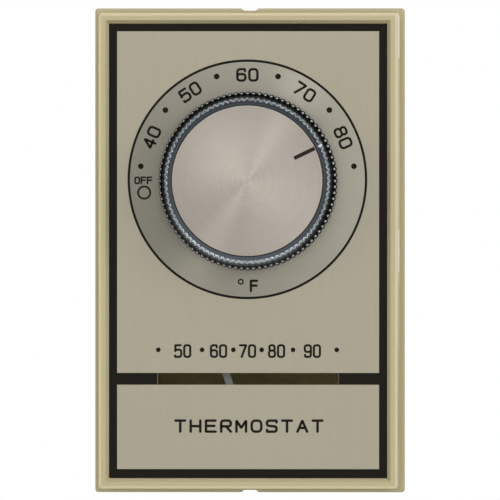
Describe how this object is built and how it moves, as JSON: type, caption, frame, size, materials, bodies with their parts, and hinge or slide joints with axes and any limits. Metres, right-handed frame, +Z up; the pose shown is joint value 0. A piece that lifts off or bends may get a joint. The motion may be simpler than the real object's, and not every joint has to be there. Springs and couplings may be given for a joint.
{
  "type": "wall thermostat",
  "caption": "Wall-mounted line-voltage room thermostat: push-on cover with dial knob and thermometer, bimetal lever and snap switch on a mounting plate over a wall-box housing.",
  "frame": {"origin": "on the wall plane, midway between the two mounting-screw holes", "axes": "+Z up, -Y out of the wall towards the person using it, +X to that person's right"},
  "size_m": [0.0762, 0.0557, 0.119],
  "materials": {
    "beige_plastic": "fine moulded grain, satin",
    "brushed_aluminium": "vertical brush, clear anodised, warm grey",
    "spun_aluminium": "concentric spun finish",
    "clear_plastic": "clear moulded acrylic, smoke tint",
    "black_plastic": "black moulding",
    "needle_paint": "pale grey paint",
    "steel": "plain",
    "spring_steel": "blued spring",
    "brass": "stamped brass",
    "bimetal": "rolled strip",
    "nylon": "natural nylon",
    "zinc_steel": "zinc plated, faint yellow",
    "copper_alloy": "beryllium copper strip",
    "silver": "silver contact",
    "ceramic": "glazed ceramic stands in as matte",
    "phenolic": "black-brown phenolic moulding",
    "magnet_steel": "sintered magnet",
    "fibre": "vulcanised fibre sheet",
    "green_steel": "green dyed zinc"
  },
  "bodies": {
    "base": {"mounting_plate": "zinc_steel", "switch_housing": "phenolic", "insulator_plate": "fibre", "mechanism_frame": "zinc_steel", "shaft_bush": "brass", "lever_pin": "steel", "lever_spring": "spring_steel", "magnet": "magnet_steel", "fixed_contacts": "silver", "terminal_screws": "steel", "line_terminal": "brass", "load_terminal": "brass", "off_line_terminal": "brass", "off_load_terminal": "brass", "anticipator": "ceramic", "anticipator_clips": "brass", "cover_clips": "spring_steel", "ground_screw": "green_steel", "frame_rivets": "steel", "housing_rivets": "brass", "clip_rivets": "steel"},
    "cover": {"cover_case": "beige_plastic", "faceplate": "brushed_aluminium", "thermometer_bracket": "brass", "bracket_screws": "steel", "thermometer_coil": "bimetal"},
    "pointer": {"thermometer_pointer": "needle_paint", "thermometer_arbor": "steel"},
    "knob": {"knob_skirt": "clear_plastic", "knob_core": "black_plastic", "dial_insert": "spun_aluminium", "knob_clip": "spring_steel"},
    "shaft": {"dial_shaft": "brass", "shaft_clip": "spring_steel", "dial_cam": "nylon"},
    "lever": {"range_lever": "zinc_steel", "cam_follower": "nylon", "follower_pin": "steel", "bimetal_blade": "bimetal", "bimetal_rivets": "brass", "calibration_screw": "brass"},
    "snap_arm": {"snap_blade": "copper_alloy", "moving_contact": "silver", "armature": "steel", "push_rod": "ceramic"},
    "off_arm": {"off_blade": "copper_alloy", "off_contact": "silver", "off_plunger": "phenolic"}
  },
  "joints": [
    {"name": "cover_lift", "type": "slide", "parent": "base", "child": "cover", "axis": [0, -1, 0], "range_m": [0, 0.045]},
    {"name": "needle_swing", "type": "hinge", "parent": "cover", "child": "pointer", "pos_m": [0, -0.0252, -0.04625], "axis": [0, -1, 0], "range_deg": [-63.3, 26.7], "stiffness_Nm_per_rad": 0.001, "deforming": ["thermometer_coil"]},
    {"name": "dial_turn", "type": "hinge", "parent": "cover", "child": "knob", "pos_m": [0, -0.035, 0.017], "axis": [0, -1, 0], "range_deg": [-17.5, 162.3]},
    {"name": "shaft_turn", "type": "hinge", "parent": "base", "child": "shaft", "pos_m": [0, -0.02, 0.017], "axis": [0, -1, 0], "range_deg": [-18, 162.8]},
    {"name": "lever_swing", "type": "hinge", "parent": "base", "child": "lever", "pos_m": [0.018, -0.0158, 0.0077], "axis": [0, -1, 0], "range_deg": [-3.5, 0.45], "deforming": ["lever_spring"]},
    {"name": "snap_open", "type": "hinge", "parent": "base", "child": "snap_arm", "pos_m": [0.00925, 0.003, 0.018], "axis": [0, 1, 0], "range_deg": [0, 2.4], "stiffness_Nm_per_rad": 0.05},
    {"name": "off_open", "type": "hinge", "parent": "base", "child": "off_arm", "pos_m": [-0.00838, 0.003, -0.022], "axis": [0, -1, 0], "range_deg": [0, 2.4], "stiffness_Nm_per_rad": 0.05}
  ],
  "couplings": [
    {"joint": "shaft_turn", "follows": "dial_turn", "ratio": 1},
    {"joint": "lever_swing", "follows": "dial_turn", "ratio": -0.021}
  ]
}
